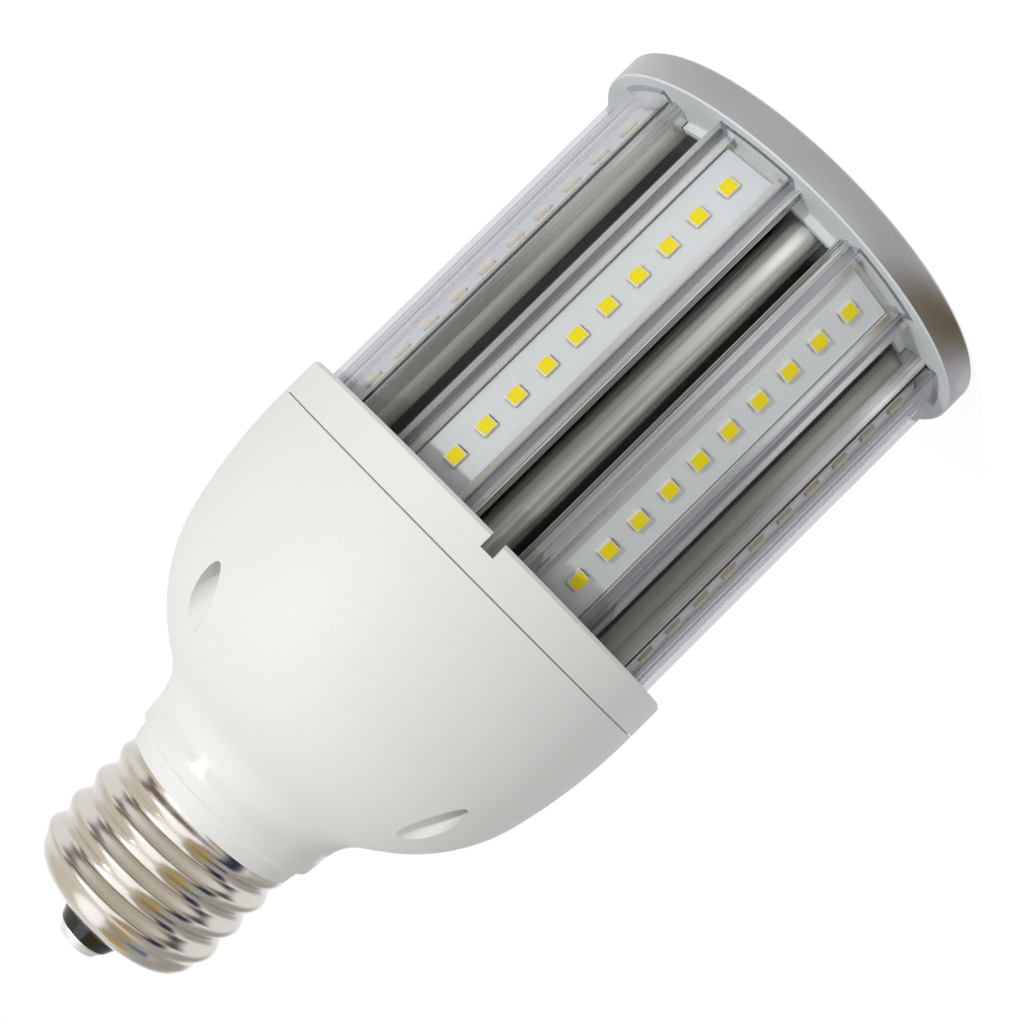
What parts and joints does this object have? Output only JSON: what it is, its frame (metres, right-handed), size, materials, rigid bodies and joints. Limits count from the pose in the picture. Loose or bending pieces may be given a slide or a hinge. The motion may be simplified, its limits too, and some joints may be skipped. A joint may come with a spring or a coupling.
{
  "type": "corn led bulb",
  "caption": "Corn LED lamp: screw base, white domed driver housing, finned aluminium body with covered LED strips and a flat end cap.",
  "frame": {"origin": "centre of the end cap's flat face, on which the lamp stands", "axes": "+Z along the lamp's axis from the end cap to the screw base; -Y through the collar's notch"},
  "size_m": [0.0912, 0.0912, 0.1894],
  "materials": {
    "plated_shell": "bright nickel plate",
    "black_insulator": "glossy black",
    "contact_metal": "plated contact button",
    "white_moulding": "warm white satin moulding",
    "extruded_aluminium": "drawn along its length",
    "cast_aluminium": "satin, fine blasted grain",
    "screw_steel": "zinc plated",
    "white_board": "white solder mask",
    "phosphor_package": "yellow phosphor in a pale frame",
    "clear_plastic": "clear moulding",
    "circuit_board": "green solder mask",
    "transformer_core": "ferrite with tape",
    "capacitor_sleeve": "shrink sleeve",
    "copper_winding": "enamelled wire",
    "wire_sleeve": "insulated wire"
  },
  "bodies": {
    "root": {"screw_shell": "plated_shell", "base_insulator": "black_insulator", "centre_contact": "contact_metal", "driver_housing": "white_moulding", "collar_ring": "white_moulding", "heat_sink": "extruded_aluminium", "end_cap": "cast_aluminium", "cap_screws": "screw_steel", "sink_screws": "screw_steel", "housing_screws": "screw_steel", "driver_board": "circuit_board", "driver_transformer": "transformer_core", "driver_capacitor": "capacitor_sleeve", "driver_choke": "copper_winding", "line_lead": "wire_sleeve", "neutral_lead": "wire_sleeve", "led_leads": "wire_sleeve", "led_board_1": "white_board", "led_chips_1": "phosphor_package", "clear_cover_1": "clear_plastic", "led_board_2": "white_board", "led_chips_2": "phosphor_package", "clear_cover_2": "clear_plastic", "led_board_3": "white_board", "led_chips_3": "phosphor_package", "clear_cover_3": "clear_plastic", "led_board_4": "white_board", "led_chips_4": "phosphor_package", "clear_cover_4": "clear_plastic", "led_board_5": "white_board", "led_chips_5": "phosphor_package", "clear_cover_5": "clear_plastic", "led_board_6": "white_board", "led_chips_6": "phosphor_package", "clear_cover_6": "clear_plastic", "led_board_7": "white_board", "led_chips_7": "phosphor_package", "clear_cover_7": "clear_plastic", "led_board_8": "white_board", "led_chips_8": "phosphor_package", "clear_cover_8": "clear_plastic"}
  },
  "joints": []
}
